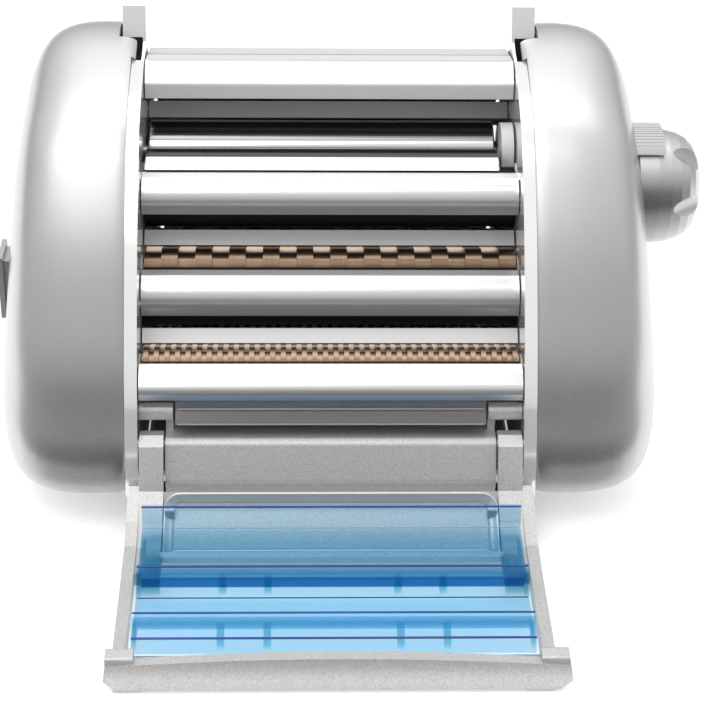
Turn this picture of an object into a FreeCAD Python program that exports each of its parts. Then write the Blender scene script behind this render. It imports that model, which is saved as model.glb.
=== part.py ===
# Electric pasta maker with two smooth rollers, a wide cutter, a fine cutter and a
# fold-down front tray. Units are millimetres, +Z is up, +X is to the right as the
# user faces the rollers, and the user stands on the -Y side. The origin is on the
# table, in the middle of the footprint.
import FreeCAD, Part
import math
import os
import Sketcher
from FreeCAD import Placement, Rotation, Vector

os.makedirs("parts", exist_ok=True)
doc = FreeCAD.newDocument("pasta_maker")

# ---------------------------------------------------------------- dimensions
DIMS = [
    ("plate_half", 72.6, "inner face of a side plate from the middle plane"),
    ("plate_thick", 1.2, "side plate sheet"),
    ("flange_wide", 4.8, "folded front edge of a side plate"),
    ("flange_thick", 1.5, "folded edge thickness"),
    ("cover_half", 72.2, "half length of the covers between the plates"),
    ("cover_len", 144.4, "length of the covers between the plates"),
    ("sheet_thick", 0.8, "cover sheet"),
    ("roller_rad", 13.0, "smooth roller radius"),
    ("roller_half", 71.6, "smooth roller half length"),
    ("journal_rad", 5.0, "smooth roller journal radius"),
    ("roller_fy", 0.6, "front smooth roller axis, Y"),
    ("roller_fz", 109.1, "front smooth roller axis, Z"),
    ("roller_gap", 1.3, "gap between the smooth rollers as drawn"),
    ("cutter_rad", 9.0, "cutter land radius"),
    ("cutter_root", 7.4, "cutter groove radius"),
    ("cutter_journal", 4.0, "cutter journal radius"),
    ("cutter_pitch", 17.0, "distance between the two axes of a cutter pair"),
    ("wide_land", 6.5, "wide cutter land"),
    ("fine_land", 2.0, "fine cutter land"),
    ("wide_fy", -22.0, "wide cutter front axis, Y"),
    ("wide_fz", 81.7, "wide cutter front axis, Z"),
    ("fine_fy", -52.4, "fine cutter front axis, Y"),
    ("fine_fz", 55.1, "fine cutter front axis, Z"),
    ("run_clear", 0.05, "radial clearance of a journal in its bush"),
    ("bush_rad", 7.5, "smooth roller bush outside radius"),
    ("cbush_rad", 6.2, "cutter bush outside radius"),
    ("gear_mod", 1.0, "gear module"),
    ("gear_wide", 5.0, "gear face width"),
    ("pair_teeth", 27, "teeth of a smooth roller pair gear"),
    ("cut_teeth", 17, "teeth of a cutter pair gear"),
    ("drive_teeth", 26, "teeth of the smooth roller drive gear"),
    ("cdrive_teeth", 20, "teeth of a cutter drive gear"),
    ("idler_one", 18, "teeth of the upper idler"),
    ("idler_two", 24, "teeth of the lower idler"),
    ("red_big", 50, "teeth of the reduction gear"),
    ("red_small", 14, "teeth of the reduction pinion"),
    ("motor_teeth", 10, "teeth of the motor pinion"),
    ("adj_big", 24, "teeth of the adjuster gear"),
    ("adj_small", 12, "teeth of the adjuster pinion"),
    ("adj_ecc", 1.2, "eccentricity of the gap cams"),
    ("knob_rad", 22.8, "thickness knob radius"),
    ("knob_deep", 17.2, "thickness knob depth"),
    ("hinge_fy", -73.0, "tray hinge axis, Y"),
    ("hinge_fz", 34.0, "tray hinge axis, Z"),
    ("hinge_pin", 3.0, "tray hinge pin radius"),
    ("pod_wall", 2.5, "side housing wall"),
    ("foot_rad", 9.0, "rubber foot radius"),
    ("foot_high", 7.6, "rubber foot height"),
    ("guard_half", 70.1, "half length of the clear guard"),
    ("guard_wall", 1.6, "clear guard wall"),
    ("tray_half", 80.65, "half length of the tray front beam"),
]
sheet = doc.addObject("Spreadsheet::Sheet", "Dims")
for row, (alias, value, note) in enumerate(DIMS, start=1):
    sheet.set("A%d" % row, alias)
    sheet.set("B%d" % row, str(value))
    sheet.setAlias("B%d" % row, alias)
    sheet.set("C%d" % row, note)
doc.recompute()


def dim(alias):
    return float(sheet.get(alias))


PARTS = []


def keep(obj):
    PARTS.append(obj)
    return obj


# ---------------------------------------------------------------- helpers
def plane(body, role):
    for feature in body.Origin.OriginFeatures:
        if feature.Role == role:
            return feature
    raise RuntimeError("no origin feature " + role)


def new_body(name):
    body = doc.addObject("PartDesign::Body", name)
    body.Label = name
    if hasattr(body, "AllowCompound"):
        body.AllowCompound = True
    return body


def new_sketch(body, role="YZ_Plane", off=0.0):
    sk = body.newObject("Sketcher::SketchObject", body.Name + "_sketch")
    sk.AttachmentSupport = [(plane(body, role), "")]
    sk.MapMode = "FlatFace"
    if isinstance(off, str):
        sk.setExpression("AttachmentOffset.Base.z", off)
    elif off:
        sk.AttachmentOffset = Placement(Vector(0, 0, off), Rotation())
    return sk


def v2(p):
    return Vector(p[0], p[1], 0)


def circle(sk, c, expr_or_rad):
    """A circle in a sketch, its radius bound to the sheet when given as text."""
    rad = 5.0 if isinstance(expr_or_rad, str) else expr_or_rad
    index = sk.addGeometry(Part.Circle(v2(c), Vector(0, 0, 1), rad), False)
    con = sk.addConstraint(Sketcher.Constraint("Radius", index, rad))
    if isinstance(expr_or_rad, str):
        sk.setExpression("Constraints[%d]" % con, expr_or_rad)
    sk.addConstraint(Sketcher.Constraint("DistanceX", index, 3, c[0]))
    sk.addConstraint(Sketcher.Constraint("DistanceY", index, 3, c[1]))
    return index


def closed(sk, edges):
    """Adds connected edges to a sketch; their ends meet exactly."""
    for e in edges:
        sk.addGeometry(e, False)


def poly_edges(pts):
    out = []
    for i in range(len(pts)):
        a, b = pts[i], pts[(i + 1) % len(pts)]
        if math.hypot(a[0] - b[0], a[1] - b[1]) > 1e-6:
            out.append(Part.LineSegment(v2(a), v2(b)))
    return out


def rounded(points, close=False):
    """Turns points (y, z, r) into straight runs and tangent arcs.

    Gives a list of ("line", p, q) and ("arc", centre, r, start, sweep)."""
    n = len(points)
    idx = range(n) if close else range(1, n - 1)
    cut = {}
    for i in idx:
        y, z, r = points[i]
        if r <= 0:
            continue
        a = points[(i - 1) % n]
        b = points[(i + 1) % n]
        u1 = (a[0] - y, a[1] - z)
        u2 = (b[0] - y, b[1] - z)
        l1 = math.hypot(*u1)
        l2 = math.hypot(*u2)
        u1 = (u1[0] / l1, u1[1] / l1)
        u2 = (u2[0] / l2, u2[1] / l2)
        cosang = u1[0] * u2[0] + u1[1] * u2[1]
        ang = math.acos(max(-1, min(1, cosang)))
        if math.pi - ang < 1e-4:
            continue
        t = r / math.tan(ang / 2)
        p = (y + u1[0] * t, z + u1[1] * t)
        q = (y + u2[0] * t, z + u2[1] * t)
        bis = (u1[0] + u2[0], u1[1] + u2[1])
        lb = math.hypot(*bis)
        dist = r / math.sin(ang / 2)
        c = (y + bis[0] / lb * dist, z + bis[1] / lb * dist)
        s0 = math.atan2(p[1] - c[1], p[0] - c[0])
        s1 = math.atan2(q[1] - c[1], q[0] - c[0])
        sweep = (s1 - s0 + math.pi) % (2 * math.pi) - math.pi
        cut[i] = (p, q, c, r, s0, sweep)
    out = []
    count = n if close else n - 1
    if close and 0 in cut:
        c0 = cut[0]
        out.append(("arc", c0[2], c0[3], c0[4], c0[5]))
    for i in range(count):
        j = (i + 1) % n
        p = cut[i][1] if i in cut else points[i][:2]
        q = cut[j][0] if j in cut else points[j][:2]
        if math.hypot(p[0] - q[0], p[1] - q[1]) > 1e-6:
            out.append(("line", p, q))
        if j in cut and not (close and j == 0):
            cj = cut[j]
            out.append(("arc", cj[2], cj[3], cj[4], cj[5]))
    return out


def edge_of(item):
    if item[0] == "line":
        return Part.LineSegment(v2(item[1]), v2(item[2]))
    _, c, r, s0, sweep = item
    pts = [Vector(c[0] + r * math.cos(s0 + sweep * k), c[1] + r * math.sin(s0 + sweep * k), 0) for k in (0, 0.5, 1)]
    return Part.Arc(*pts)


def ends_of(item):
    if item[0] == "line":
        return item[1], item[2]
    _, c, r, s0, sweep = item
    return ((c[0] + r * math.cos(s0), c[1] + r * math.sin(s0)),
            (c[0] + r * math.cos(s0 + sweep), c[1] + r * math.sin(s0 + sweep)))


def strip_edges(points, thick):
    """Section of a bent sheet: the path through points (y, z, bend radius),
    and its offset by thick to the left of the direction of travel."""
    fixed = [points[0]]
    for a, b, c in zip(points[:-2], points[1:-1], points[2:]):
        turn = (b[0] - a[0]) * (c[1] - b[1]) - (b[1] - a[1]) * (c[0] - b[0])
        fixed.append((b[0], b[1], max(b[2], abs(thick) + 0.3) if turn * thick > 0 else max(b[2], 0.3)))
    fixed.append(points[-1])
    path = rounded(fixed)
    off = []
    for item in path:
        if item[0] == "line":
            (a, b), (c, d) = item[1], item[2]
            ln = math.hypot(c - a, d - b)
            nx, nz = -(d - b) / ln * thick, (c - a) / ln * thick
            off.append(("line", (a + nx, b + nz), (c + nx, d + nz)))
        else:
            _, c, r, s0, sweep = item
            off.append(("arc", c, r - thick if sweep > 0 else r + thick, s0, sweep))
    edges = [edge_of(i) for i in path]
    first = ends_of(path[0])[0]
    last = ends_of(path[-1])[1]
    ofirst = ends_of(off[0])[0]
    olast = ends_of(off[-1])[1]
    edges.append(Part.LineSegment(v2(last), v2(olast)))
    prev = olast
    for item in reversed(off):
        a, b = ends_of(item)
        if math.hypot(prev[0] - b[0], prev[1] - b[1]) > 1e-6:
            edges.append(Part.LineSegment(v2(prev), v2(b)))
        if item[0] == "line":
            edges.append(Part.LineSegment(v2(b), v2(a)))
        else:
            _, c, r, s0, sweep = item
            edges.append(edge_of(("arc", c, r, s0 + sweep, -sweep)))
        prev = a
    edges.append(Part.LineSegment(v2(ofirst), v2(first)))
    return edges


def pad(body, sk, length, suffix="pad"):
    feature = body.newObject("PartDesign::Pad", body.Name + "_" + suffix)
    feature.Profile = sk
    if isinstance(length, str):
        feature.setExpression("Length", length)
    else:
        feature.Length = length
    sk.Visibility = False
    return feature


def pocket(body, sk, length, reverse=False):
    feature = body.newObject("PartDesign::Pocket", body.Name + "_pocket")
    feature.Profile = sk
    if isinstance(length, str):
        feature.setExpression("Length", length)
    else:
        feature.Length = length
    feature.Reversed = reverse
    return feature


def prism(name, edges, x0, length, circles=(), role="YZ_Plane"):
    """A body padded from one side view outline, from x0 along the normal."""
    body = new_body(name)
    sk = new_sketch(body, role, x0)
    closed(sk, edges)
    for c, r in circles:
        circle(sk, c, r)
    pad(body, sk, length)
    return body


def add_pad(body, edges, x0, length, circles=(), role="YZ_Plane"):
    sk = new_sketch(body, role, x0)
    closed(sk, edges)
    for c, r in circles:
        circle(sk, c, r)
    return pad(body, sk, length, "more")


def revolve(name, profile, at=(0, 0, 0)):
    """A turned piece on the X axis; profile is (x, radius) points, closed on the axis."""
    body = new_body(name)
    sk = new_sketch(body, "XY_Plane")
    closed(sk, poly_edges(profile))
    rev = body.newObject("PartDesign::Revolution", name + "_turn")
    rev.Profile = sk
    rev.ReferenceAxis = (sk, ["H_Axis"])
    rev.Angle = 360
    body.Placement = Placement(Vector(*at), Rotation())
    return body


def gear(name, teeth_alias, x0, at, phase, bore=4.0, add=0.85, ded=1.15, thick=1.2, width="Dims.gear_wide", hub=None):
    """A spur gear on an axis along X: a root disc with its bore, one tooth, and a
    polar pattern of it. phase is the angle of the first tooth from +Y, in degrees."""
    teeth = int(dim(teeth_alias))
    mod = dim("gear_mod")
    pr = teeth * mod / 2.0
    rf, ra = pr - ded, pr + add
    body = new_body(name)
    sk = new_sketch(body, "YZ_Plane", x0)
    circle(sk, (0, 0), "Dims.%s * Dims.gear_mod / 2 - %g" % (teeth_alias, ded))
    if bore:
        circle(sk, (0, 0), bore)
    pad(body, sk, width)
    st = new_sketch(body, "YZ_Plane", x0)
    root_half = thick / 2 + 0.30
    tip_half = max(0.25, thick / 2 - 0.32)
    closed(st, poly_edges([(rf - 0.4, -root_half), (rf, -root_half), (pr, -thick / 2), (ra, -tip_half),
                           (ra, tip_half), (pr, thick / 2), (rf, root_half), (rf - 0.4, root_half)]))
    tooth = pad(body, st, width, "tooth")
    pat = body.newObject("PartDesign::PolarPattern", name + "_teeth")
    pat.Originals = [tooth]
    axis = plane(body, "X_Axis")
    pat.Axis = (axis, [""])
    pat.Angle = 360
    pat.setExpression("Occurrences", "Dims." + teeth_alias)
    body.Tip = pat
    if hub:
        sh = new_sketch(body, "YZ_Plane", hub[0])
        circle(sh, (0, 0), hub[1])
        if bore:
            circle(sh, (0, 0), bore)
        pad(body, sh, hub[2], "hub")
    body.Placement = Placement(Vector(*at), Rotation(Vector(1, 0, 0), phase))
    return body


def mesh_phase(ca, na, pa, cb, nb):
    """Phase in degrees of a gear at cb with nb teeth, in mesh with a gear at ca
    with na teeth and phase pa."""
    th = math.atan2(cb[1] - ca[1], cb[0] - ca[0])
    al = math.radians(pa)
    be = th + math.pi - (math.pi + na * (al - th)) / nb
    step = 2 * math.pi / nb
    be = (be + step / 2) % step - step / 2
    return math.degrees(be)


def meet(ca, ra, cb, rb, side):
    """The point at distance ra from ca and rb from cb, on one side of the line."""
    dx, dz = cb[0] - ca[0], cb[1] - ca[1]
    d = math.hypot(dx, dz)
    a = (ra * ra - rb * rb + d * d) / (2 * d)
    h = math.sqrt(max(0.0, ra * ra - a * a))
    mx, mz = ca[0] + a * dx / d, ca[1] + a * dz / d
    return (mx - side * h * dz / d, mz + side * h * dx / d)


def cyl(name, at, axis, rad, length):
    """A cylinder primitive; rad and length are sheet expressions or numbers."""
    c = doc.addObject("Part::Cylinder", name)
    for prop, val in (("Radius", rad), ("Height", length)):
        if isinstance(val, str):
            c.setExpression(prop, val)
        else:
            setattr(c, prop, val)
    c.Placement = Placement(Vector(*at), Rotation(Vector(0, 0, 1), Vector(*axis)))
    return c


def box(name, lo, hi):
    b = doc.addObject("Part::Box", name)
    b.Length, b.Width, b.Height = (hi[k] - lo[k] for k in range(3))
    b.Placement = Placement(Vector(*lo), Rotation())
    return b


def cut(name, base, tool):
    c = doc.addObject("Part::Cut", name)
    c.Base, c.Tool = base, tool
    return c


def fuse(name, shapes):
    f = doc.addObject("Part::MultiFuse", name)
    f.Shapes = shapes
    return f


def group(name, shapes):
    g = doc.addObject("Part::Compound", name)
    g.Links = shapes
    g.Label = name
    return g


# ---------------------------------------------------------------- stations
PH = dim("plate_half")
PT = dim("plate_thick")
RR = dim("roller_rad")
F1 = (dim("roller_fy"), dim("roller_fz"))
R1 = (F1[0] + 2 * RR + dim("roller_gap"), F1[1])
C1 = (dim("wide_fy"), dim("wide_fz"))
C1R = (C1[0] + dim("cutter_pitch"), C1[1])
C2 = (dim("fine_fy"), dim("fine_fz"))
C2R = (C2[0] + dim("cutter_pitch"), C2[1])
HG = (dim("hinge_fy"), dim("hinge_fz"))
S = (22.5, 89.2)          # adjuster cross shaft
K = (S[0] + 18 * math.cos(math.radians(129.93)), S[1] + 18 * math.sin(math.radians(129.93)))

TIE = [(-30.0, 26.0), (60.0, 30.0), (60.0, 112.0)]

# front edge of a side plate in side view, from the bottom up
FRONT = [(-83.0, 17.5), (-81.0, 27.7), (-77.0, 41.5), (-69.2, 59.3), (-57.3, 80.0), (-42.5, 102.7),
         (-26.7, 122.0), (-10.0, 136.8), (10.0, 145.2), (27.0, 148.9)]


def spline(pts, periodic=False):
    b = Part.BSplineCurve()
    b.interpolate([v2(p) for p in pts], periodic)
    return b


def offset_points(pts, dist):
    """Points moved by dist to the right of the direction of travel."""
    out = []
    for i, p in enumerate(pts):
        a = pts[max(0, i - 1)]
        b = pts[min(len(pts) - 1, i + 1)]
        ln = math.hypot(b[0] - a[0], b[1] - a[1])
        out.append((p[0] + (b[1] - a[1]) / ln * dist, p[1] - (b[0] - a[0]) / ln * dist))
    return out


# ---------------------------------------------------------------- side plates
def side_plate(name, side):
    """Chrome sheet web with its front edge folded outwards and an ear on top."""
    x_in = PH if side > 0 else -PH - PT
    body = new_body(name)
    sk = new_sketch(body, "YZ_Plane", "Dims.plate_half" if side > 0 else "-Dims.plate_half - Dims.plate_thick")
    edges = [spline(FRONT)]
    rest = [FRONT[-1], (36.0, 150.0), (40.2, 151.6), (44.6, 164.9), (46.6, 164.4), (48.2, 156.6), (53.0, 153.2), (62.0, 145.6),
            (80.0, 124.0), (92.0, 102.0), (97.0, 75.0), (97.5, 42.0), (93.0, 20.0), (84.0, 10.5),
            (-74.0, 10.5), (-80.5, 12.6), FRONT[0]]
    for a, b in zip(rest[:-1], rest[1:]):
        edges.append(Part.LineSegment(v2(a), v2(b)))
    closed(sk, edges)
    for c in (F1, R1):
        circle(sk, c, "Dims.bush_rad" if c is F1 else 7.6)
    for c in (C1, C1R, C2, C2R):
        circle(sk, c, "Dims.cbush_rad")
    circle(sk, S, 4.3)
    circle(sk, HG, "Dims.hinge_pin")
    for c in TIE:
        circle(sk, c, 1.7)
    pad(body, sk, "Dims.plate_thick")
    # folded front edge
    x0 = PH if side > 0 else -PH - dim("flange_wide")
    inner = offset_points(FRONT, dim("flange_thick"))
    fl = [spline(FRONT), Part.LineSegment(v2(FRONT[-1]), v2(inner[-1])), spline(list(reversed(inner))),
          Part.LineSegment(v2(inner[0]), v2(FRONT[0]))]
    add_pad(body, fl, "Dims.plate_half" if side > 0 else "-Dims.plate_half - Dims.flange_wide", "Dims.flange_wide")
    # ear folded outwards
    ear = [(40.7, 153.2), (44.6, 164.9), (46.0, 164.5), (42.1, 152.8)]
    add_pad(body, poly_edges(ear), PH if side > 0 else -PH - 9.1, 9.1)
    return keep(body)


side_plate("left_side_plate", -1)
side_plate("right_side_plate", 1)


# ---------------------------------------------------------------- covers
def cover(name, pts, thick="sheet_thick", half=None, left=True):
    """A bent cover sheet that spans the plates."""
    t = dim(thick) if isinstance(thick, str) else thick
    x0 = "-Dims.cover_half" if half is None else -half
    ln = "Dims.cover_len" if half is None else 2 * half
    return keep(prism(name, strip_edges(pts, t if left else -t), x0, ln))


# top cover: from the ridge down over the crease to the feed lip
cover("top_cover", [(40.0, 146.3, 0), (26.5, 149.2, 3.0), (19.6, 142.2, 2.0), (19.2, 136.2, 0)])
# rear cover: falls away behind the ridge and closes the back
cover("rear_cover", [(86.8, 8.6, 0), (94.8, 30.0, 22.0), (94.6, 80.0, 60.0), (77.0, 121.0, 30.0),
                     (56.0, 143.2, 9.0), (40.6, 146.3, 0)], half=71.9)
# sheet guide behind the smooth rollers
cover("feed_guide", [(41.2, 125.8, 0), (36.2, 120.8, 0)])
# rounded front cover of the smooth rollers
cover("roller_front_cover", [(-9.8, 118.0, 0), (-14.0, 117.4, 4.0), (-21.0, 113.4, 9.5), (-20.9, 105.4, 0)])
cover("wide_cutter_cover", [(-30.4, 86.5, 0), (-34.6, 85.9, 4.0), (-41.8, 81.0, 10.0), (-41.6, 72.6, 0)])
keep(group("cutter_feed_guides", [
    prism("wide_cutter_guide", strip_edges([(-12.8, 87.9, 0), (-8.4, 92.3, 0)], dim("sheet_thick")), "-Dims.cover_half", "Dims.cover_len"),
    prism("fine_cutter_guide", strip_edges([(-43.0, 61.2, 0), (-38.8, 65.4, 0)], dim("sheet_thick")), "-Dims.cover_half", "Dims.cover_len")]))
# lower cover: rounds the fine cutter, then turns down to the exit
cover("fine_cutter_cover", [(-60.4, 62.3, 0), (-64.2, 61.4, 3.0), (-70.2, 56.0, 5.0), (-69.7, 51.8, 0)])
# dark moulded shrouds that close the gaps under the rounded covers
keep(group("roller_shrouds", [
    prism("upper_shroud", strip_edges([(-19.6, 105.6, 0), (-14.6, 104.6, 2.0), (-9.6, 97.2, 6.0), (-6.9, 93.5, 0)], 1.2), "-Dims.cover_half", "Dims.cover_len"),
    prism("lower_shroud", strip_edges([(-40.4, 72.0, 0), (-36.6, 71.4, 1.5), (-35.0, 69.4, 2.0), (-37.2, 66.4, 0)], 1.2), "-Dims.cover_half", "Dims.cover_len"),
    prism("rear_shroud", strip_edges([(42.4, 126.2, 0), (46.0, 134.0, 5.0), (38.0, 143.0, 0)], 1.2), "-Dims.cover_half", "Dims.cover_len")]))

# ---------------------------------------------------------------- base
BASE_IN = 62.4
base = new_body("base_frame")
sk = new_sketch(base, "YZ_Plane", -BASE_IN)
closed(sk, strip_edges([(85.0, 7.8, 0), (-76.0, 7.8, 4.0), (-82.4, 22.5, 4.0), (-75.8, 36.6, 2.5), (-73.4, 37.7, 1.5),
                        (-57.0, 37.7, 0)], -2.4))
pad(base, sk, 2 * BASE_IN)
for s in (-1, 1):
    # side cheek, and the rounded boss above the tray hinge
    x0 = 59.6 if s > 0 else -BASE_IN
    add_pad(base, poly_edges([(-80.5, 20.0), (-75.4, 35.6), (-73.4, 37.0), (-67.4, 37.0), (-66.6, 43.6), (-57.0, 46.4),
                              (-50.0, 33.0), (-50.0, 6.6), (-76.0, 6.6)]), x0, 2.8)
    x1 = 59.6 if s > 0 else -72.4
    boss = rounded([(-54.4, 36.0, 0), (-54.4, 44.6, 1.0), (-58.4, 46.6, 3.0), (-69.2, 49.2, 3.2), (-69.2, 42.4, 1.6), (-58.0, 41.0, 1.0),
                    (-57.0, 36.0, 0)], close=True)
    add_pad(base, [edge_of(i) for i in boss], x1, 12.8)
    # floor wing out to the side plate
    x2 = 62.0 if s > 0 else -72.4
    add_pad(base, poly_edges([(-50.0, 5.4), (85.0, 5.4), (85.0, 7.8), (-50.0, 7.8)]), x2, 10.4)
    # upright tab screwed to the side plate
    x3 = 69.9 if s > 0 else -72.4
    add_pad(base, poly_edges([(0.0, 6.6), (70.0, 6.6), (70.0, 24.0), (0.0, 24.0)]), x3, 2.5)
keep(base)

# ramp that leads cut pasta to the front exit
cover("exit_ramp", [(56.0, 92.0, 0), (46.0, 80.0, 15.0), (14.0, 52.0, 30.0), (-22.0, 39.4, 40.0), (-56.4, 38.0, 0)],
      thick=1.0, half=59.2, left=True)

# ---------------------------------------------------------------- exit flap
FLAP = (-68.4, 46.6)
flap = new_body("exit_flap")
sk = new_sketch(flap, "YZ_Plane", -58.6)
closed(sk, poly_edges([(-68.6, 53.0), (-68.8, 47.2), (-72.6, 42.9), (-71.8, 42.2), (-67.8, 46.8), (-67.8, 53.0)]))
pad(flap, sk, 117.2)
keep(flap)

# ---------------------------------------------------------------- rollers and cutters
XB = PH + 5.0


def smooth_roller(name, at, left_len, right_len):
    h = dim("roller_half")
    body = new_body(name)
    sk = new_sketch(body, "XY_Plane")
    r, j = RR, dim("journal_rad")
    pts = [(-h - left_len, 0), (-h - left_len, j), (-h, j), (-h, r - 0.6), (-h + 0.6, r), (h - 6.6, r), (h - 6.0, r - 0.6),
           (h - 6.0, j), (h + right_len, j), (h + right_len, 0)]
    closed(sk, poly_edges(pts))
    rev = body.newObject("PartDesign::Revolution", name + "_turn")
    rev.Profile = sk
    rev.ReferenceAxis = (sk, ["H_Axis"])
    rev.Angle = 360
    body.Placement = Placement(Vector(0, at[0], at[1]), Rotation())
    return keep(body)


smooth_roller("front_roller", F1, 19.0, 7.0)
smooth_roller("rear_roller", R1, 13.0, 7.0)


def cutter(name, at, land, count, first, left_len):
    """A cutter roller: count slots of one land width, lands on every second slot."""
    half = count * land / 2.0
    r, g, j = dim("cutter_rad"), dim("cutter_root"), dim("cutter_journal")
    end = 71.6
    pts = [(-end - left_len, 0), (-end - left_len, j), (-end, j), (-end, g)]
    for k in range(count):
        x0 = -half + k * land
        if k % 2 == first:
            pts += [(x0 + 0.06, g), (x0 + 0.06, r), (x0 + land - 0.06, r), (x0 + land - 0.06, g)]
    pts += [(end, g), (end, j), (end + 4.0, j), (end + 4.0, 0)]
    body = new_body(name)
    sk = new_sketch(body, "XY_Plane")
    closed(sk, poly_edges(pts))
    rev = body.newObject("PartDesign::Revolution", name + "_turn")
    rev.Profile = sk
    rev.ReferenceAxis = (sk, ["H_Axis"])
    rev.Angle = 360
    body.Placement = Placement(Vector(0, at[0], at[1]), Rotation())
    return keep(body)


cutter("wide_cutter_front", C1, dim("wide_land"), 22, 1, 19.0)
cutter("wide_cutter_rear", C1R, dim("wide_land"), 22, 0, 13.0)
cutter("fine_cutter_front", C2, dim("fine_land"), 71, 0, 19.0)
cutter("fine_cutter_rear", C2R, dim("fine_land"), 71, 1, 13.0)


# scrapers and combs that keep pasta off the rollers
def comb(name, at, land, count, first, angle, root):
    """A bar with teeth that reach into the grooves of one cutter roller."""
    body = new_body(name)
    half = count * land / 2.0
    sk = new_sketch(body, "YZ_Plane", -71.0)
    closed(sk, poly_edges([(10.2, -1.2), (13.2, -1.2), (13.2, 1.2), (10.2, 1.2)]))
    pad(body, sk, 142.0)
    slots = [k for k in range(count) if k % 2 != first]
    w = land - 0.8 if land > 3 else land - 0.7
    x0 = -half + slots[0] * land + (land - w) / 2
    st = new_sketch(body, "YZ_Plane", x0)
    closed(st, poly_edges([(root + 0.5, -0.7), (10.4, -1.1), (10.4, 1.1), (root + 0.5, 0.7)]))
    tooth = pad(body, st, w, "tooth")
    pat = body.newObject("PartDesign::LinearPattern", name + "_teeth")
    pat.Originals = [tooth]
    pat.Direction = (plane(body, "X_Axis"), [""])
    pat.Length = (len(slots) - 1) * 2 * land
    pat.Occurrences = len(slots)
    body.Tip = pat
    body.Placement = Placement(Vector(0, at[0], at[1]), Rotation(Vector(1, 0, 0), angle))
    return body


keep(group("wide_cutter_combs", [comb("wide_front_comb", C1, dim("wide_land"), 22, 1, -75, dim("cutter_root")),
                                 comb("wide_rear_comb", C1R, dim("wide_land"), 22, 0, -105, dim("cutter_root"))]))
keep(group("fine_cutter_combs", [comb("fine_front_comb", C2, dim("fine_land"), 71, 0, 205, dim("cutter_root")),
                                 comb("fine_rear_comb", C2R, dim("fine_land"), 71, 1, -30, dim("cutter_root"))]))
# flat scraper blade under the front smooth roller
keep(prism("front_scraper", poly_edges([(4.2, 94.0), (5.4, 94.0), (9.6, 88.6), (8.4, 88.2)]), -64.0, 128.0))

# ---------------------------------------------------------------- bushes
bushes = []
for s in (-1, 1):
    x0 = (PH - 0.4) if s > 0 else -(PH + 2.4)
    tag = "r" if s > 0 else "l"
    for n, (c, ro, rj) in enumerate(((F1, "Dims.bush_rad", "Dims.journal_rad + Dims.run_clear"),
                                     (C1, "Dims.cbush_rad", "Dims.cutter_journal + Dims.run_clear"),
                                     (C1R, "Dims.cbush_rad", "Dims.cutter_journal + Dims.run_clear"),
                                     (C2, "Dims.cbush_rad", "Dims.cutter_journal + Dims.run_clear"),
                                     (C2R, "Dims.cbush_rad", "Dims.cutter_journal + Dims.run_clear"))):
        outer = cyl("bush_%s%d_o" % (tag, n), (x0, c[0], c[1]), (1, 0, 0), ro, 2.8)
        bore = cyl("bush_%s%d_b" % (tag, n), (x0 - 1, c[0], c[1]), (1, 0, 0), rj, 4.8)
        bushes.append(cut("bush_%s%d" % (tag, n), outer, bore))
keep(group("roller_bushes", bushes))

# white end guide of the nip, on the right side plate
guide_disc = cyl("nip_disc", (67.2, 14.5, 115.6), (1, 0, 0), 11.8, 4.8)
notch = fuse("nip_notches", [cyl("nip_notch_f", (66.0, F1[0], F1[1]), (1, 0, 0), 6.0, 8.0),
                             cyl("nip_notch_r", (66.0, R1[0] + 0.2, R1[1]), (1, 0, 0), 7.2, 8.0)])
end_guide = cut("nip_end_guide", guide_disc, notch)
end_guide.Label = "nip_end_guide"
keep(end_guide)

# ---------------------------------------------------------------- gears, left housing
XA, XBl, XC = -84.5, -90.3, -96.0      # outer ends of the three gear planes
PA = mesh_phase(F1, 27, 0.0, R1, 27)
keep(group("front_roller_gears", [
    gear("front_pair_gear", "pair_teeth", XA, (0, F1[0], F1[1]), 0.0, 5.0, 1.25, 2.1, 1.0),
    gear("roller_drive_gear", "drive_teeth", XBl, (0, F1[0], F1[1]), 0.0, 5.0)]))
keep(gear("rear_roller_gear", "pair_teeth", XA, (0, R1[0], R1[1]), PA, 5.0, 1.25, 2.1, 1.0))
keep(gear("wide_rear_gear", "cut_teeth", XA, (0, C1R[0], C1R[1]), mesh_phase(C1, 17, 0.0, C1R, 17), 4.0))
keep(gear("fine_rear_gear", "cut_teeth", XA, (0, C2R[0], C2R[1]), mesh_phase(C2, 17, 0.0, C2R, 17), 4.0))
I1 = meet(F1, 22.0, C1, 19.0, -1)
I2 = meet(C1, 22.0, C2, 22.0, -1)
if I1[0] > -15:
    I1 = meet(F1, 22.0, C1, 19.0, 1)
if I2[0] < -40:
    I2 = meet(C1, 22.0, C2, 22.0, 1)
RD = (F1[0] + 20 * math.cos(math.radians(-60)), F1[1] + 20 * math.sin(math.radians(-60)))
MT = (RD[0] + 30 * math.cos(math.radians(-45)), RD[1] + 30 * math.sin(math.radians(-45)))
ph_i1 = mesh_phase(F1, 26, 0.0, I1, 18)
ph_c1 = mesh_phase(I1, 18, ph_i1, C1, 20)
ph_i2 = mesh_phase(C1, 20, ph_c1, I2, 24)
ph_c2 = mesh_phase(I2, 24, ph_i2, C2, 20)
ph_rd = mesh_phase(F1, 26, 0.0, RD, 14)
ph_mt = mesh_phase(RD, 50, 0.0, MT, 10)
keep(group("wide_front_gears", [gear("wide_pair_gear", "cut_teeth", XA, (0, C1[0], C1[1]), 0.0, 4.0),
                                gear("wide_drive_gear", "cdrive_teeth", XBl, (0, C1[0], C1[1]), ph_c1, 4.0)]))
keep(group("fine_front_gears", [gear("fine_pair_gear", "cut_teeth", XA, (0, C2[0], C2[1]), 0.0, 4.0),
                                gear("fine_drive_gear", "cdrive_teeth", XBl, (0, C2[0], C2[1]), ph_c2, 4.0)]))
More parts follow.
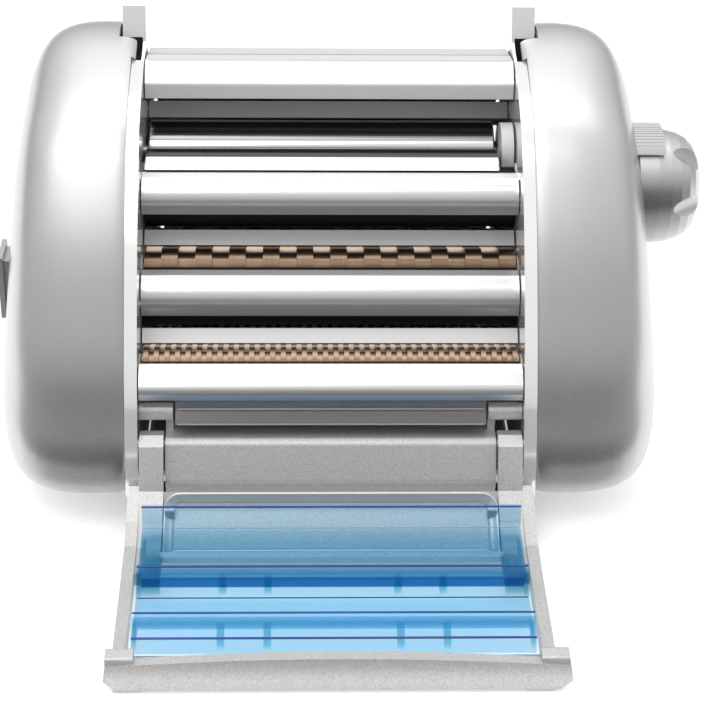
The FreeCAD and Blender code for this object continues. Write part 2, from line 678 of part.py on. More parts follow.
keep(gear("upper_idler_gear", "idler_one", XBl, (0, I1[0], I1[1]), ph_i1, 3.05))
keep(gear("lower_idler_gear", "idler_two", XBl, (0, I2[0], I2[1]), ph_i2, 3.05))
keep(group("reduction_gears", [gear("reduction_pinion", "red_small", XBl, (0, RD[0], RD[1]), ph_rd, 3.05),
                               gear("reduction_wheel", "red_big", XC, (0, RD[0], RD[1]), 0.0, 3.05, hub=(XBl - 0.7, 5.0, 0.7))]))
keep(gear("motor_pinion", "motor_teeth", XC, (0, MT[0], MT[1]), ph_mt, 2.0))

# steel plate outside the gears, with the pins that the idlers turn on
GP = -99.6
pins = []
plate_outline = poly_edges([(-40.0, 50.0), (-45.0, 62.0), (-41.0, 93.0), (-23.0, 121.0), (-9.0, 127.5), (12.0, 122.0), (44.0, 100.0),
                            (58.0, 62.0), (52.0, 46.0), (-18.0, 46.0)])
MSCREW = [(MT[0] + 17 * math.cos(math.radians(a)), MT[1] + 17 * math.sin(math.radians(a))) for a in (45, 225)]
gplate = new_body("gear_plate")
sk = new_sketch(gplate, "YZ_Plane", GP)
closed(sk, plate_outline)
circle(sk, MT, 7.0)
for c in (I1, I2, RD):
    circle(sk, c, 3.0)
for c in MSCREW:
    circle(sk, c, 1.5)
STAND = [(-12.0, 58.0), (-35.5, 90.5), (-14.0, 121.0), (50.0, 60.0)]
pad(gplate, sk, 2.0)
keep(gplate)
keep(group("gear_pins_and_posts", [
    cyl("pin_upper", (GP, I1[0], I1[1]), (1, 0, 0), 3.0, 15.0),
    cyl("pin_lower", (GP, I2[0], I2[1]), (1, 0, 0), 3.0, 15.0),
    cyl("pin_reduction", (GP, RD[0], RD[1]), (1, 0, 0), 3.0, 15.0)] + [
    cyl("post_%d" % n, (GP + 2.0, c[0], c[1]), (1, 0, 0), 3.2, abs(GP) - 2.0 - PH - PT) for n, c in enumerate(STAND)]))

# motor: can, and its shaft with the pinion
can = revolve("motor_can", [(-120.4, 2.1), (-120.4, 14.0), (-118.2, 18.6), (-116.4, 21.5), (-103.0, 21.5), (-101.5, 20.0), (-99.6, 20.0),
                            (-99.6, 2.1), (-102.2, 2.1), (-102.2, 16.0), (-117.8, 16.0), (-117.8, 2.1)], (0, MT[0], MT[1]))
for n, c in enumerate(MSCREW):
    sm = new_sketch(can, "YZ_Plane", GP + 0.0)
    circle(sm, (c[0] - MT[0], c[1] - MT[1]), 1.5)
    pm = pocket(can, sm, 7.0)
keep(can)
keep(revolve("motor_shaft", [(-120.0, 0), (-120.0, 2.05), (-116.6, 2.05), (-116.6, 15.2), (-103.6, 15.2), (-103.6, 2.05), (-98.0, 2.05),
                             (-98.0, 2.0), (-91.0, 2.0), (-91.0, 0)], (0, MT[0], MT[1])))

# ---------------------------------------------------------------- gap adjuster, both sides
def carrier(name, x0):
    """Block that holds a journal of the rear roller and is pushed by a cam."""
    body = new_body(name)
    sk = new_sketch(body, "YZ_Plane", x0)
    closed(sk, [edge_of(i) for i in rounded([(13.0, 79.0, 3), (38.0, 79.0, 3), (38.0, 118.0, 3), (18.0, 118.0, 3), (18.0, 101.0, 2),
                                              (13.0, 101.0, 2)], close=True)])
    circle(sk, R1, "Dims.journal_rad + Dims.run_clear")
    slot = [(S[0] - 6.95, S[1] - 8.4), (S[0] + 6.95, S[1] - 8.4), (S[0] + 6.95, S[1] + 8.4), (S[0] - 6.95, S[1] + 8.4)]
    closed(sk, poly_edges(slot))
    pad(body, sk, 4.0)
    return body


keep(group("roller_carriers", [carrier("left_carrier", -PH - PT - 0.4 - 4.0), carrier("right_carrier", PH + PT + 0.4)]))
rails = []
for s in (-1, 1):
    x0 = PH + PT if s > 0 else -PH - PT - 5.0
    rails.append(box("rail_%d_top" % s, (x0, 14.5, 118.3), (x0 + 5.0, 41.0, 121.3)))
    rails.append(box("rail_%d_low" % s, (x0, 9.0, 75.7), (x0 + 5.0, 41.0, 78.7)))
keep(group("carrier_rails", rails))

shaft = new_body("adjuster_shaft")
sk = new_sketch(shaft, "YZ_Plane", -79.4)
circle(sk, (0, 0), 4.0)
pad(shaft, sk, 79.4 + 86.5)
for x0 in (-78.0, 74.4):
    sc = new_sketch(shaft, "YZ_Plane", x0)
    circle(sc, (0, dim("adj_ecc")), 6.5)
    pad(shaft, sc, 3.6, "cam")
shaft.Placement = Placement(Vector(0, S[0], S[1]), Rotation())
keep(shaft)
keep(gear("adjuster_gear", "adj_big", 80.4, (0, S[0], S[1]), 0.0, 4.0))
keep(gear("adjuster_pinion", "adj_small", 80.4, (0, K[0], K[1]), mesh_phase(S, 24, 0.0, K, 12), 3.0))
# knob spindle: from a bearing bracket by the gears out through the housing
keep(revolve("knob_spindle", [(78.6, 0), (78.6, 3.0), (88.5, 3.0), (88.5, 4.0), (141.0, 4.0), (141.0, 0)], (0, K[0], K[1])))
bracket = new_body("spindle_bracket")
sk = new_sketch(bracket, "YZ_Plane", 87.6)
closed(sk, poly_edges([(-11.4, 94.0), (-11.4, 122.4), (12.0, 122.4), (24.0, 110.0), (24.0, 94.0)]))
circle(sk, K, 4.6)
pad(bracket, sk, 2.4)
add_pad(bracket, poly_edges([(-11.4, 94.0), (-9.0, 94.0), (-9.0, 120.0), (12.0, 120.0), (12.0, 122.4), (-11.4, 122.4)]), PH + PT, 14.2)
keep(bracket)

# ---------------------------------------------------------------- knob
NT = 6
KX = 119.6
kr = dim("knob_rad")
drum = revolve("knob_drum", [(KX, 4.05), (KX, kr - 0.8), (KX + 0.8, kr), (128.0, kr), (133.0, kr - 0.6), (137.0, kr - 1.6), (140.4, kr - 3.2),
                             (143.0, kr - 5.6), (144.8, kr - 9.0), (145.8, kr - 13.6), (146.2, 4.0), (146.2, 0.0), (141.4, 0.0), (141.4, 4.05)],
               (0, 0, 0))
doc.recompute()
body = drum.Shape.copy()
low = Vector(0.772, 0, -0.636)
for n in range(NT):
    dent = Part.makeCylinder(5.2, 20.0, Vector(137.3, 0, kr + 3.1) - low * 4.5, low)
    dent = dent.fuse(Part.makeSphere(5.2, Vector(137.3, 0, kr + 3.1) - low * 4.5))
    dent.rotate(Vector(0, 0, 0), Vector(1, 0, 0), 360.0 / NT * n + 30.0)
    body = body.cut(dent)
doc.removeObject(drum.Name)
body.translate(Vector(0, K[0], K[1]))
knob = doc.addObject("Part::Feature", "thickness_knob")
knob.Label = "thickness_knob"
knob.Shape = body
keep(knob)

# ---------------------------------------------------------------- side housings
POD = [(-67.5, 9.4), (-75.2, 14.2), (-79.4, 19.6), (-80.8, 27.0), (-79.6, 33.5), (-75.6, 43.0), (-68.0, 60.0), (-56.3, 80.5),
       (-41.6, 103.0), (-26.0, 122.2), (-9.6, 137.2), (10.0, 146.0), (27.0, 151.6), (43.0, 155.2), (57.0, 153.6), (69.0, 147.6),
       (82.0, 134.6), (93.5, 115.5), (101.0, 93.0), (105.0, 69.0), (105.5, 46.0), (102.0, 26.5), (94.0, 13.5), (80.0, 7.6),
       (58.0, 6.2), (20.0, 6.0), (-20.0, 6.0), (-45.0, 6.1), (-57.5, 6.9)]
CEN = (14.0, 78.0)


def pod_section(x, inset):
    # each section leans in towards the top, the outer ones most
    k = 1.0 - inset / 85.0
    lean = 0.066 * (abs(x) - 76.0) / 51.6 * (1 if x > 0 else -1)
    pts = [Vector(x - lean * (CEN[1] + (p[1] - CEN[1]) * k - 42.0), CEN[0] + (p[0] - CEN[0]) * k, CEN[1] + (p[1] - CEN[1]) * k) for p in POD]
    b = Part.BSplineCurve()
    b.interpolate(pts, True)
    return Part.Wire([b.toShape()])


OUTER = [(76.0, 2.4), (78.2, 1.0), (83.0, 0.2), (92.0, 0.0), (101.0, 0.5), (109.0, 2.2), (115.0, 5.2), (119.6, 10.0), (123.2, 17.5),
         (125.8, 29.0), (127.1, 44.0), (127.6, 62.0)]
INNER = [(75.0, 5.4), (78.2, 3.7), (83.0, 2.9), (92.0, 2.7), (101.0, 3.3), (109.0, 5.4), (114.0, 9.0), (117.6, 14.5), (120.6, 22.5),
         (122.9, 34.0), (124.1, 47.0), (124.6, 62.0)]


def pod_shape(side):
    outer = Part.makeLoft([pod_section(side * x, s) for x, s in OUTER], True, False)
    inner = Part.makeLoft([pod_section(side * x, s) for x, s in INNER], True, False)
    shell = outer.cut(inner)
    # room for the folded plate edge and for the ear
    near = [Vector(0, p[0], p[1]) for p in offset_points(FRONT, -6.0)]
    deep = [Vector(0, p[0], p[1]) for p in offset_points(FRONT, dim("flange_thick") + 0.2)]
    a, b = Part.BSplineCurve(), Part.BSplineCurve()
    a.interpolate(near)
    b.interpolate(deep)
    wire = Part.Wire([a.toShape(), Part.makeLine(near[-1], deep[-1]), b.toShape(), Part.makeLine(deep[0], near[0])])
    slit = Part.Face(wire)
    slit.translate(Vector(74.0 if side > 0 else -77.6, 0, 0))
    shell = shell.cut(slit.extrude(Vector(3.6, 0, 0)))
    ear = Part.makeBox(10.0, 12.0, 20.0, Vector(73.0 if side > 0 else -83.0, 38.2, 149.6))
    return shell.cut(ear)


def keep_shape(name, shape):
    f = doc.addObject("Part::Feature", name)
    f.Label = name
    f.Shape = shape
    f.Placement = Placement()
    return keep(f)


GLAND = (102.0, 34.0, 100.0)      # y of the wall, z, |x|
SWITCH = (-14.0, 74.0)            # y, z of the switch on the left housing
left = pod_shape(-1)
gl = [Part.makeCylinder(5.0, 30.0, Vector(-GLAND[2], 85.0, GLAND[1]), Vector(0, 1, 0)),
      Part.makeCylinder(8.05, 20.0, Vector(-GLAND[2], 104.7, GLAND[1]), Vector(0, 1, 0)),
      Part.makeCylinder(7.1, 14.0, Vector(-GLAND[2], 86.0, GLAND[1]), Vector(0, 1, 0))]
sw = [Part.makeBox(20.0, 13.0, 22.0, Vector(-135.0, SWITCH[0] - 6.5, SWITCH[1] - 11.0)),
      Part.makeBox(10.0, 17.2, 26.2, Vector(-135.6, SWITCH[0] - 8.6, SWITCH[1] - 13.1))]
for tool in gl + sw:
    left = left.cut(tool)
vents = [Part.makeBox(26.0, 3.0, 12.0, Vector(-112.0, 30.0 + 8.0 * k, 0.0)) for k in range(5)]
for tool in vents:
    left = left.cut(tool)
right = pod_shape(1)
kh = Part.makeCylinder(4.6, 30.0, Vector(115.0, K[0], K[1]), Vector(1, 0, 0))
right = right.cut(kh)
# round well that takes the inner end of the knob, with a slot in its rim for the index pad
full = Part.makeLoft([pod_section(x, s) for x, s in OUTER], True, False)
well = full.common(Part.makeCylinder(26.6, 30.0, Vector(115.8, K[0], K[1]), Vector(1, 0, 0)))
right = right.fuse(well)
right = right.cut(Part.makeCylinder(23.6, 30.0, Vector(118.0, K[0], K[1]), Vector(1, 0, 0)))
right = right.cut(Part.makeCylinder(4.6, 30.0, Vector(110.0, K[0], K[1]), Vector(1, 0, 0)))


def sector(r0, r1, x0, x1, a0, a1):
    """Part of a ring about the knob axis, between two angles from +Y."""
    ring = Part.makeCylinder(r1, x1 - x0, Vector(x0, K[0], K[1]), Vector(1, 0, 0)).cut(
        Part.makeCylinder(r0, x1 - x0, Vector(x0, K[0], K[1]), Vector(1, 0, 0)))
    ray = [Vector(x0, K[0] + 60.0 * math.cos(math.radians(a)), K[1] + 60.0 * math.sin(math.radians(a)))
           for a in (a0, 0.5 * (a0 + a1), a1)]
    mid = Vector(x0, K[0], K[1])
    return ring.common(Part.Face(Part.makePolygon([mid] + ray + [mid])).extrude(Vector(x1 - x0, 0, 0)))


right = right.cut(sector(23.4, 25.1, 118.0, 140.0, 59.0, 126.0))
keep_shape("left_housing", left)
keep_shape("right_housing", right)

# ribbed index pad beside the knob
keep_shape("index_pad", sector(23.6, 25.0, 118.1, 130.4, 60.0, 125.0))

# ---------------------------------------------------------------- switch and cord gland
bez = new_body("switch_bezel")
sk = new_sketch(bez, "YZ_Plane", -128.4)
closed(sk, poly_edges([(SWITCH[0] - 8.5, SWITCH[1] - 13.0), (SWITCH[0] + 8.5, SWITCH[1] - 13.0), (SWITCH[0] + 8.5, SWITCH[1] + 13.0),
                       (SWITCH[0] - 8.5, SWITCH[1] + 13.0)]))
closed(sk, poly_edges([(SWITCH[0] - 5.2, SWITCH[1] - 9.6), (SWITCH[0] + 5.2, SWITCH[1] - 9.6), (SWITCH[0] + 5.2, SWITCH[1] + 9.6),
                       (SWITCH[0] - 5.2, SWITCH[1] + 9.6)]))
pad(bez, sk, 2.0)
add_pad(bez, poly_edges([(SWITCH[0] - 6.4, SWITCH[1] - 10.9), (SWITCH[0] + 6.4, SWITCH[1] - 10.9), (SWITCH[0] + 6.4, SWITCH[1] + 10.9),
                         (SWITCH[0] - 6.4, SWITCH[1] + 10.9)])
        + poly_edges([(SWITCH[0] - 5.2, SWITCH[1] - 9.6), (SWITCH[0] + 5.2, SWITCH[1] - 9.6), (SWITCH[0] + 5.2, SWITCH[1] + 9.6),
                      (SWITCH[0] - 5.2, SWITCH[1] + 9.6)]), -126.8, 10.8)
sp = new_sketch(bez, "XZ_Plane", -(SWITCH[0] + 12.0))
circle(sp, (-122.8, SWITCH[1]), 1.25)
pocket(bez, sp, 24.0, True)
keep(bez)
rock = new_body("switch_rocker")
sk = new_sketch(rock, "XZ_Plane", -(SWITCH[0] + 4.9))
closed(sk, poly_edges([(-127.2, SWITCH[1] + 7.6), (-130.4, SWITCH[1] + 6.8), (-128.4, SWITCH[1]), (-128.0, SWITCH[1] - 7.4), (-122.8, SWITCH[1] - 5.6),
                       (-119.8, SWITCH[1]), (-122.8, SWITCH[1] + 5.6)]))
pad(rock, sk, 9.8)
sp = new_sketch(rock, "XZ_Plane", -(SWITCH[0] + 6.2))
circle(sp, (-122.8, SWITCH[1]), 1.2)
pad(rock, sp, 12.4, "pin")
keep(rock)
gland = revolve("cord_gland", [(0.0, 3.2), (0.0, 8.0), (2.6, 8.0), (2.6, 6.4), (3.4, 5.0), (8.4, 5.0), (8.4, 7.0), (11.0, 7.0), (11.0, 3.2)])
gland.Placement = Placement(Vector(-GLAND[2], 108.2, GLAND[1]), Rotation(Vector(1, 0, 0), Vector(0, -1, 0)))
keep(gland)

# ---------------------------------------------------------------- feet and screws
feet = []
FEET = [(-58.0, -60.0), (58.0, -60.0), (-58.0, 78.0), (58.0, 78.0)]
for n, (x, y) in enumerate(FEET):
    feet.append(cyl("foot_%d" % n, (x, y, 0.0), (0, 0, 1), "Dims.foot_rad", 5.4))
keep(group("rubber_feet", feet))


def screw(name, at, axis, head_r, head_h, shank_r, shank_l):
    head = cyl(name + "_h", at, axis, head_r, head_h)
    far = tuple(at[k] + axis[k] * head_h for k in range(3))
    shank = cyl(name + "_s", far, axis, shank_r, shank_l)
    return fuse(name, [head, shank])


bars, screws = [], []
for n, c in enumerate(TIE):
    bar = cyl("tie_%d_o" % n, (-PH, c[0], c[1]), (1, 0, 0), 4.5, 2 * PH)
    bore = cyl("tie_%d_b" % n, (-PH - 1, c[0], c[1]), (1, 0, 0), 1.6, 2 * PH + 2)
    bars.append(cut("tie_%d" % n, bar, bore))
    for s in (-1, 1):
        screws.append(screw("tie_screw_%d_%s" % (n, "r" if s > 0 else "l"), (s * (PH + PT + 1.8), c[0], c[1]), (-s, 0, 0), 3.4, 1.8, 1.6,
                            PT + 9.0))
keep(group("tie_bars", bars))
keep(group("tie_bar_screws", screws))
keep(group("motor_screws", [screw("motor_screw_%d" % n, (GP + 3.8, c[0], c[1]), (-1, 0, 0), 2.8, 1.8, 1.5, 8.0)
                            for n, c in enumerate(MSCREW)]))

# ---------------------------------------------------------------- front tray
tray = new_body("tray_frame")
RAIL = [(-84.6, 18.2), (-84.8, 23.4), (-88.5, 20.8), (-96.5, 15.4), (-108.0, 12.4), (-129.0, 11.6), (-175.0, 11.0), (-175.0, 4.4),
        (-129.0, 4.8), (-108.0, 5.2), (-96.5, 8.2), (-88.5, 12.8)]
ARM = [(-74.8, 39.6), (-79.4, 37.2), (-83.4, 29.0), (-86.6, 22.2), (-96.5, 14.6), (-108.0, 11.4), (-122.0, 10.2), (-122.0, 4.8), (-108.0, 5.2),
       (-96.5, 8.2), (-88.5, 12.8), (-84.0, 19.0), (-80.0, 26.4), (-75.0, 28.6), (-69.0, 30.4), (-67.8, 34.0), (-69.8, 38.6)]
sk = new_sketch(tray, "YZ_Plane", -76.4)
closed(sk, poly_edges(RAIL))
pad(tray, sk, 4.4)
add_pad(tray, poly_edges(RAIL), 72.0, 4.4)
for s in (-1, 1):
    add_pad(tray, poly_edges(ARM), 63.0 if s > 0 else -72.1, 9.1, [(HG, "Dims.hinge_pin + Dims.run_clear")])
# recessed pan between the arms
PAN = strip_edges([(-84.9, 21.0, 0), (-88.6, 14.6, 9.0), (-104.0, 6.6, 12.0), (-110.6, 5.6, 3.0), (-113.6, 11.2, 0)], -2.2)
add_pad(tray, PAN, -63.2, 126.4)
# arched front beam
bw = dim("tray_half")
bm = new_sketch(tray, "XZ_Plane", 173.4)
off = 1.35
arch = [Part.LineSegment(v2((off - bw + 4, 1.2)), v2((off + bw - 4, 1.2))), Part.LineSegment(v2((off + bw - 4, 1.2)), v2((off + bw, 5.0))),
        Part.LineSegment(v2((off + bw, 5.0)), v2((off + bw - 1.0, 11.3))),
        Part.Arc(Vector(off + bw - 1.0, 11.3, 0), Vector(off, 14.6, 0), Vector(off - bw + 1.0, 11.3, 0)),
        Part.LineSegment(v2((off - bw + 1.0, 11.3)), v2((off - bw, 5.0))), Part.LineSegment(v2((off - bw, 5.0)), v2((off - bw + 4, 1.2)))]
closed(bm, arch)
pad(tray, bm, 4.2, "beam")
add_pad(tray, poly_edges([(-163.0, 1.8), (-174.0, 1.8), (-174.0, 4.8), (-163.0, 4.8)]), -76.4, 152.8)
for s in (-1, 1):
    clip = rounded([(-170.6, 7.0, 0), (-170.6, 14.6, 1.2), (-176.8, 14.0, 1.2), (-176.8, 7.0, 0)], close=True)
    add_pad(tray, [edge_of(i) for i in clip], 71.0 if s > 0 else -78.4, 9.6)
    stud = rounded([(-90.6, 12.5, 0), (-90.6, 19.4, 1.4), (-93.8, 18.2, 1.4), (-93.8, 11.0, 0)], close=True)
    add_pad(tray, [edge_of(i) for i in stud], 58.6 if s > 0 else -62.0, 3.4)
    add_pad(tray, poly_edges([(-177.0, 0.0), (-177.0, 1.6), (-166.0, 1.6), (-166.0, 0.0)]), 66.0 if s > 0 else -76.0, 10.0)
keep(tray)

# clear stepped guard, clipped in the tray
guard = new_body("clear_guard")
sk = new_sketch(guard, "YZ_Plane", "-Dims.guard_half")
GUARD = [(-101.4, 25.4, 0), (-102.4, 16.6, 1.2), (-131.2, 15.2, 1.2), (-132.2, 20.6, 1.0), (-138.0, 20.4, 1.0), (-140.2, 12.6, 1.2),
         (-156.4, 12.6, 1.2), (-157.4, 19.0, 1.0), (-166.0, 14.7, 1.2), (-168.4, 9.6, 0)]
closed(sk, strip_edges(GUARD, dim("guard_wall")))
pad(guard, sk, "2 * Dims.guard_half")
for x in (-39.4, -23.2, 23.2, 39.4):
    add_pad(guard, poly_edges([(-133.6, 12.3), (-133.0, 18.8), (-136.8, 18.6), (-139.8, 12.4)]), x - 1.3, 2.6)
    add_pad(guard, poly_edges([(-158.4, 12.0), (-158.6, 17.2), (-165.0, 14.0), (-167.4, 9.8), (-163.0, 9.6)]), x - 1.3, 2.6)
for s in (-1, 1):
    add_pad(guard, poly_edges([(-106.0, 12.6), (-103.0, 16.6), (-131.6, 15.2), (-133.0, 19.6), (-137.2, 19.4), (-140.2, 12.6), (-157.0, 12.6),
                               (-158.0, 18.0), (-165.6, 14.2), (-167.8, 9.8)]), 68.5 if s > 0 else "-Dims.guard_half", 1.6)
    add_pad(guard, poly_edges([(-115.0, 12.2), (-115.0, 14.8), (-130.6, 14.2), (-130.6, 11.9)]), 61.8 if s > 0 else -68.6, 6.8)
    add_pad(guard, poly_edges([(-133.6, 12.3), (-133.0, 18.8), (-136.8, 18.6), (-139.8, 12.4)]), 61.8 if s > 0 else -68.6, 6.8)
keep(guard)

# hinge studs pressed in the side plates
keep(group("tray_hinge_pins", [
    cyl("hinge_l", (-PH - PT, HG[0], HG[1]), (1, 0, 0), "Dims.hinge_pin", PH + PT - 62.8),
    cyl("hinge_r", (62.8, HG[0], HG[1]), (1, 0, 0), "Dims.hinge_pin", PH + PT - 62.8)]))

# ---------------------------------------------------------------- shared frame
# The drawing's origin is on the middle plane under the front roller; every piece is
# moved together so that the origin is the middle of the footprint.
doc.recompute()
SHIFT = Vector(-6.6, 34.7, 0.0)
for obj in PARTS:
    obj.Placement = Placement(obj.Placement.Base + SHIFT, obj.Placement.Rotation)

# ---------------------------------------------------------------- checks and export
doc.recompute()
bad = []
for obj in doc.Objects:
    state = list(obj.State)
    if "Invalid" in state or "Error" in state:
        bad.append((obj.Name, state))
for obj in PARTS:
    shape = obj.Shape
    if shape.isNull() or not shape.isValid() or not shape.Solids:
        bad.append((obj.Label, "null %s valid %s solids %d" % (shape.isNull(), (not shape.isNull()) and shape.isValid(),
                                                                 0 if shape.isNull() else len(shape.Solids))))
names = [obj.Label for obj in PARTS]
if len(set(names)) != len(names):
    bad.append(("names", "repeated"))
if bad:
    for b in bad:
        print("BAD", b)
    raise SystemExit(1)
for old in os.listdir("parts"):
    if old.endswith(".step") and old[:-5] not in names:
        os.remove(os.path.join("parts", old))
for obj in PARTS:
    obj.Shape.exportStep("parts/%s.step" % obj.Label)
print("wrote", len(PARTS), "parts")
print("K", K, "I1", I1, "I2", I2, "RD", RD, "MT", MT, "R1", R1)
for obj in PARTS:
    bb = obj.Shape.BoundBox
    print("%-22s solids %2d vol %9.1f  X %.1f..%.1f Y %.1f..%.1f Z %.1f..%.1f" % (
        obj.Label, len(obj.Shape.Solids), obj.Shape.Volume, bb.XMin, bb.XMax, bb.YMin, bb.YMax, bb.ZMin, bb.ZMax))
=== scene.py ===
import bpy, bmesh, math
from mathutils import Vector, Matrix


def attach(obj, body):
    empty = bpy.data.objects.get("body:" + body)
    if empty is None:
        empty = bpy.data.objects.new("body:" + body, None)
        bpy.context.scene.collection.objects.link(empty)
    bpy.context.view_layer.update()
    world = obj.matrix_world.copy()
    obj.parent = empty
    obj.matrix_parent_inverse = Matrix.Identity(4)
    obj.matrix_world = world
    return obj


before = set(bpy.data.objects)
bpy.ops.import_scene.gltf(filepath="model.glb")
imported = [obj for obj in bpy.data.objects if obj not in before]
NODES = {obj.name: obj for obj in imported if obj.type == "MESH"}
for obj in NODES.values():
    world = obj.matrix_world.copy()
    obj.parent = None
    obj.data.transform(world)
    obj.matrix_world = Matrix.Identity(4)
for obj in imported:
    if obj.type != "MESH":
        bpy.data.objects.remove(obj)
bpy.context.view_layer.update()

# the drawing's own origin is on the middle plane; the shared frame is moved by this
OX, OY = -6.6, 34.7


def P(x, y, z):
    """Drawing millimetres to frame metres."""
    return ((x + OX) / 1000.0, (y + OY) / 1000.0, z / 1000.0)


# ------------------------------------------------------------------ materials
def mat(name, base, rough, metal=0.0, coat=0.0, coat_rough=0.1, spec=0.5, trans=0.0, ior=1.45):
    m = bpy.data.materials.new(name)
    m.use_nodes = True
    b = m.node_tree.nodes["Principled BSDF"]
    b.inputs["Base Color"].default_value = (*base, 1.0)
    b.inputs["Roughness"].default_value = rough
    b.inputs["Metallic"].default_value = metal
    b.inputs["Coat Weight"].default_value = coat
    b.inputs["Coat Roughness"].default_value = coat_rough
    b.inputs["Specular IOR Level"].default_value = spec
    b.inputs["Transmission Weight"].default_value = trans
    b.inputs["IOR"].default_value = ior
    return m


def nodes_of(m):
    return m.node_tree.nodes, m.node_tree.links, m.node_tree.nodes["Principled BSDF"]


def texcoord(nt, scale):
    tc = nt.nodes.new("ShaderNodeTexCoord")
    mp = nt.nodes.new("ShaderNodeMapping")
    mp.inputs["Scale"].default_value = scale
    nt.links.new(tc.outputs["Object"], mp.inputs["Vector"])
    return mp


def noise_bump(m, scale, strength, dist, detail=2.0, stretch=(1, 1, 1)):
    nt = m.node_tree
    mp = texcoord(nt, stretch)
    n = nt.nodes.new("ShaderNodeTexNoise")
    n.inputs["Scale"].default_value = scale
    n.inputs["Detail"].default_value = detail
    nt.links.new(mp.outputs["Vector"], n.inputs["Vector"])
    bp = nt.nodes.new("ShaderNodeBump")
    bp.inputs["Strength"].default_value = strength
    bp.inputs["Distance"].default_value = dist
    nt.links.new(n.outputs["Fac"], bp.inputs["Height"])
    nt.links.new(bp.outputs["Normal"], nt.nodes["Principled BSDF"].inputs["Normal"])
    return n


def noise_rough(m, scale, low, high, stretch=(1, 1, 1)):
    nt = m.node_tree
    mp = texcoord(nt, stretch)
    n = nt.nodes.new("ShaderNodeTexNoise")
    n.inputs["Scale"].default_value = scale
    n.inputs["Detail"].default_value = 4.0
    nt.links.new(mp.outputs["Vector"], n.inputs["Vector"])
    mr = nt.nodes.new("ShaderNodeMapRange")
    mr.inputs["To Min"].default_value = low
    mr.inputs["To Max"].default_value = high
    nt.links.new(n.outputs["Fac"], mr.inputs["Value"])
    nt.links.new(mr.outputs["Result"], nt.nodes["Principled BSDF"].inputs["Roughness"])


def noise_colour(m, scale, c0, c1, stretch=(1, 1, 1), detail=3.0):
    nt = m.node_tree
    mp = texcoord(nt, stretch)
    n = nt.nodes.new("ShaderNodeTexNoise")
    n.inputs["Scale"].default_value = scale
    n.inputs["Detail"].default_value = detail
    nt.links.new(mp.outputs["Vector"], n.inputs["Vector"])
    cr = nt.nodes.new("ShaderNodeValToRGB")
    cr.color_ramp.elements[0].position = 0.35
    cr.color_ramp.elements[0].color = (*c0, 1)
    cr.color_ramp.elements[1].position = 0.65
    cr.color_ramp.elements[1].color = (*c1, 1)
    nt.links.new(n.outputs["Fac"], cr.inputs["Fac"])
    nt.links.new(cr.outputs["Color"], nt.nodes["Principled BSDF"].inputs["Base Color"])


def paint_light_by_tilt(m, axis, stops, scale=None, amount=0.06):
    """Painted light and shade: colour by how a face is turned, lighter or darker as light and reflections would fall on
    it; stops are (component of the normal, grey or rgb).
    A fine noise is added along the turned direction so that it isn't flat."""
    nt = m.node_tree
    ge = nt.nodes.new("ShaderNodeNewGeometry")
    sp = nt.nodes.new("ShaderNodeSeparateXYZ")
    nt.links.new(ge.outputs["Normal"], sp.inputs["Vector"])
    mr = nt.nodes.new("ShaderNodeMapRange")
    mr.inputs["From Min"].default_value = -1.0
    mr.inputs["From Max"].default_value = 1.0
    nt.links.new(sp.outputs[axis], mr.inputs["Value"])
    fac = mr.outputs["Result"]
    if scale:
        mp = texcoord(nt, scale)
        ns = nt.nodes.new("ShaderNodeTexNoise")
        ns.inputs["Scale"].default_value = 100.0
        ns.inputs["Detail"].default_value = 2.0
        nt.links.new(mp.outputs["Vector"], ns.inputs["Vector"])
        ma = nt.nodes.new("ShaderNodeMath")
        ma.operation = "MULTIPLY_ADD"
        nt.links.new(ns.outputs["Fac"], ma.inputs[0])
        ma.inputs[1].default_value = amount
        nt.links.new(fac, ma.inputs[2])
        fac = ma.outputs[0]
    cr = nt.nodes.new("ShaderNodeValToRGB")
    ramp = cr.color_ramp
    while len(ramp.elements) < len(stops):
        ramp.elements.new(0.5)
    for e, (p, c) in zip(ramp.elements, stops):
        e.position = 0.5 + 0.5 * p
        e.color = (*c, 1) if isinstance(c, tuple) else (c, c, c, 1)
    nt.links.new(fac, cr.inputs["Fac"])
    nt.links.new(cr.outputs["Color"], nt.nodes["Principled BSDF"].inputs["Base Color"])


M = {}
M["chrome"] = mat("chrome", (0.84, 0.84, 0.835), 0.14, metal=0.55)
noise_rough(M["chrome"], 60.0, 0.08, 0.13)
M["cover"] = mat("cover", (0.88, 0.88, 0.875), 0.24, metal=0.72)
noise_rough(M["cover"], 30.0, 0.20, 0.27, (1, 20, 20))
# painted light and shade: faces turned up painted light, faces turned down painted dark, as reflected light from above
# would fall
paint_light_by_tilt(M["cover"], "Z", [(-0.6, 0.30), (-0.1, 0.40), (0.25, 0.50), (0.6, 0.62), (0.86, 0.74), (0.98, 0.95)])
M["cover_top"] = mat("cover_top", (0.80, 0.80, 0.795), 0.22, metal=0.45)
noise_rough(M["cover_top"], 30.0, 0.18, 0.26, (1, 20, 20))
# painted shade: faces turned down painted darker than sloping and upward faces
paint_light_by_tilt(M["cover_top"], "Z", [(-0.6, 0.6), (0.1, 0.80), (0.5, 0.86), (0.8, 0.80), (0.95, 0.74)])
M["roller"] = mat("roller", (0.83, 0.83, 0.84), 0.13, metal=1.0)
noise_rough(M["roller"], 40.0, 0.10, 0.18, (1, 30, 30))
M["roller_front"] = mat("roller_front", (0.9, 0.9, 0.9), 0.13, metal=0.9)
noise_rough(M["roller_front"], 40.0, 0.10, 0.18, (1, 30, 30))
# painted reflection: a bright band on faces turned partly to the front, dark on faces turned up and back
paint_light_by_tilt(M["roller_front"], "Y", [(-0.95, 0.55), (-0.6, 0.90), (-0.36, 0.92), (-0.28, 0.10), (0.0, 0.14), (0.6, 0.40)])
M["roller_rear"] = mat("roller_rear", (0.6, 0.6, 0.6), 0.13, metal=0.9)
noise_rough(M["roller_rear"], 40.0, 0.10, 0.18, (1, 30, 30))
